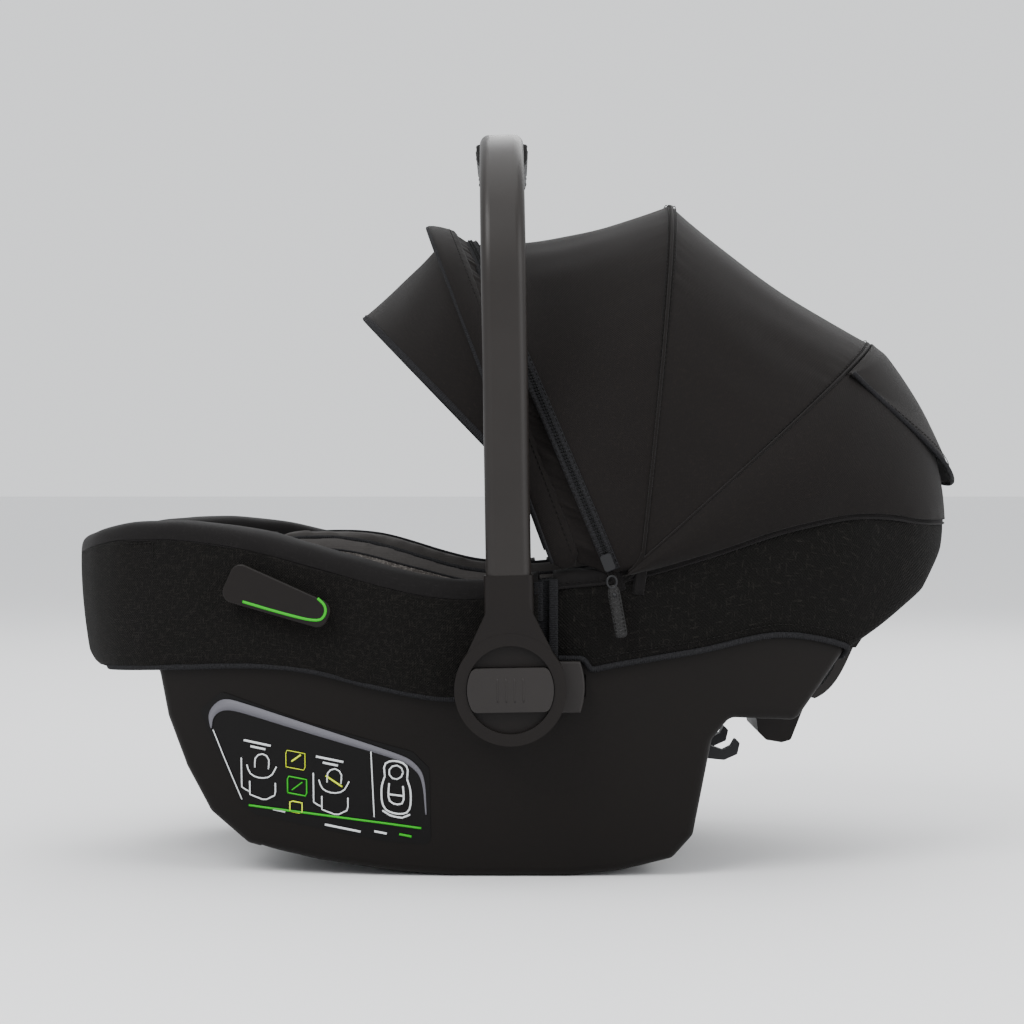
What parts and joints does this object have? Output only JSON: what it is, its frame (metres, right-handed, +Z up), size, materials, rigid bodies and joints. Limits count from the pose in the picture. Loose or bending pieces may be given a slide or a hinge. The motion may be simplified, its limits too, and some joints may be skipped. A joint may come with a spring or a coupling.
{
  "type": "infant car seat",
  "caption": "Rear-facing infant carrier with a folding canopy, a swinging carry handle, a harness and base latches.",
  "frame": {"origin": "centre of the bounding box's bottom face", "axes": "+X to the head end, +Y to the child's right, +Z up"},
  "size_m": [0.6731, 0.443, 0.5451],
  "materials": {
    "shell_plastic": "moulded, fine grain",
    "inner_plastic": "moulded",
    "foam": "bead foam",
    "melange_weave": "melange weave",
    "canopy_cloth": "smooth weave",
    "pad_fabric": "knit",
    "insert_jersey": "jersey",
    "webbing": "woven webbing",
    "tube_paint": "satin",
    "grip_leather": "grained, stitched",
    "button_plastic": "satin",
    "green_line": "printed",
    "label_film": "printed film",
    "steel": "zinc plated",
    "spring_bow": "flat bow",
    "mesh": "open mesh",
    "red_button": "gloss"
  },
  "bodies": {
    "seat": {"outer_shell": "shell_plastic", "seat_bucket": "inner_plastic", "foam_liner": "foam", "seat_pad": "pad_fabric", "infant_insert": "insert_jersey", "head_pillow": "insert_jersey", "foot_cover": "melange_weave", "head_skirt": "melange_weave", "pivot_housings": "inner_plastic", "pivot_bolts": "steel", "belt_guide_left": "shell_plastic", "belt_guide_right": "shell_plastic", "belt_line_left": "green_line", "belt_line_right": "green_line", "info_label_left": "label_film", "info_label_right": "label_film", "rear_latch_block": "shell_plastic", "latch_brackets": "inner_plastic", "lever_bracket": "shell_plastic", "lever_pin": "steel", "shoulder_straps": "webbing", "shoulder_pads": "pad_fabric", "lap_straps": "webbing", "crotch_strap": "webbing", "yoke_plate": "steel", "buckle_body": "inner_plastic", "buckle_tongues": "steel", "adjuster_housing": "inner_plastic", "adjuster_strap": "webbing", "canopy_pins": "steel", "canopy_rear_bow": "spring_bow", "canopy_hem_panel": "canopy_cloth", "vent_mesh": "mesh"},
    "handle": {"handle_tube": "tube_paint", "handle_grip": "grip_leather", "handle_hub_left": "shell_plastic", "handle_hub_right": "shell_plastic", "lock_gear_left": "inner_plastic", "lock_gear_right": "inner_plastic", "lock_spring_left": "steel", "lock_spring_right": "steel"},
    "lock_button_left": {"handle_button_left": "button_plastic"},
    "lock_button_right": {"handle_button_right": "button_plastic"},
    "memory_slide_left": {"memory_button_left": "button_plastic"},
    "memory_slide_right": {"memory_button_right": "button_plastic"},
    "canopy_middle": {"canopy_mid_bow": "spring_bow", "canopy_rear_panel": "canopy_cloth"},
    "canopy_front": {"canopy_front_bow": "spring_bow", "canopy_front_panel": "canopy_cloth", "canopy_brim": "canopy_cloth", "canopy_zip": "inner_plastic", "zip_slider": "steel", "zip_puller": "grip_leather"},
    "visor": {"visor_wire": "spring_bow", "visor_sheet": "canopy_cloth"},
    "flap": {"vent_flap": "canopy_cloth"},
    "release": {"release_lever": "button_plastic"},
    "hooks": {"latch_hooks": "steel"},
    "harness_button": {"buckle_button": "red_button"},
    "length_button": {"adjuster_button": "button_plastic"}
  },
  "joints": [
    {"name": "handle_turn", "type": "hinge", "parent": "seat", "child": "handle", "pos_m": [-0.0055, 0, 0.14], "axis": [0, 1, 0], "range_deg": [0, 107]},
    {"name": "handle_button_left_press", "type": "slide", "parent": "handle", "child": "lock_button_left", "axis": [0, 1, 0], "range_m": [0, 0.004], "stiffness_N_per_m": 1500, "springref_m": -0.001},
    {"name": "handle_button_right_press", "type": "slide", "parent": "handle", "child": "lock_button_right", "axis": [0, -1, 0], "range_m": [0, 0.004], "stiffness_N_per_m": 1500, "springref_m": -0.001},
    {"name": "memory_button_left_slide", "type": "slide", "parent": "seat", "child": "memory_slide_left", "axis": [-1, 0, 0], "range_m": [0, 0.006], "stiffness_N_per_m": 900, "springref_m": -0.001},
    {"name": "memory_button_right_slide", "type": "slide", "parent": "seat", "child": "memory_slide_right", "axis": [-1, 0, 0], "range_m": [0, 0.006], "stiffness_N_per_m": 900, "springref_m": -0.001},
    {"name": "canopy_middle_fold", "type": "hinge", "parent": "seat", "child": "canopy_middle", "pos_m": [0.065, 0, 0.2095], "axis": [0, 1, 0], "range_deg": [0, 28], "deforming": ["canopy_rear_panel"]},
    {"name": "canopy_front_fold", "type": "hinge", "parent": "canopy_middle", "child": "canopy_front", "pos_m": [0.065, 0, 0.2095], "axis": [0, 1, 0], "range_deg": [0, 25.2], "deforming": ["canopy_front_panel"]},
    {"name": "visor_flip", "type": "hinge", "parent": "canopy_front", "child": "visor", "pos_m": [0.01, 0, 0.281], "axis": [0, 1, 0], "range_deg": [0, 16], "deforming": ["visor_sheet"]},
    {"name": "vent_flap_lift", "type": "hinge", "parent": "seat", "child": "flap", "pos_m": [0.274, 0, 0.3915], "axis": [0, 1, 0], "range_deg": [-110, 0], "deforming": ["vent_flap"]},
    {"name": "release_pull", "type": "hinge", "parent": "seat", "child": "release", "pos_m": [0.257, 0, 0.165], "axis": [0, 1, 0], "range_deg": [-25, 0], "stiffness_Nm_per_rad": 0.6, "springref_deg": 8.59},
    {"name": "latch_turn", "type": "hinge", "parent": "seat", "child": "hooks", "pos_m": [0.116, 0, 0.066], "axis": [0, 1, 0], "range_deg": [0, 15.2]},
    {"name": "buckle_button_press", "type": "slide", "parent": "seat", "child": "harness_button", "axis": [0, 0, -1], "range_m": [0, 0.002], "stiffness_N_per_m": 1200, "springref_m": -0.001},
    {"name": "adjuster_button_press", "type": "slide", "parent": "seat", "child": "length_button", "axis": [0, 0, -1], "range_m": [0, 0.002], "stiffness_N_per_m": 1000, "springref_m": -0.001}
  ],
  "couplings": [
    {"joint": "canopy_front_fold", "follows": "canopy_middle_fold", "ratio": 0.9},
    {"joint": "latch_turn", "follows": "release_pull", "ratio": -0.6}
  ]
}
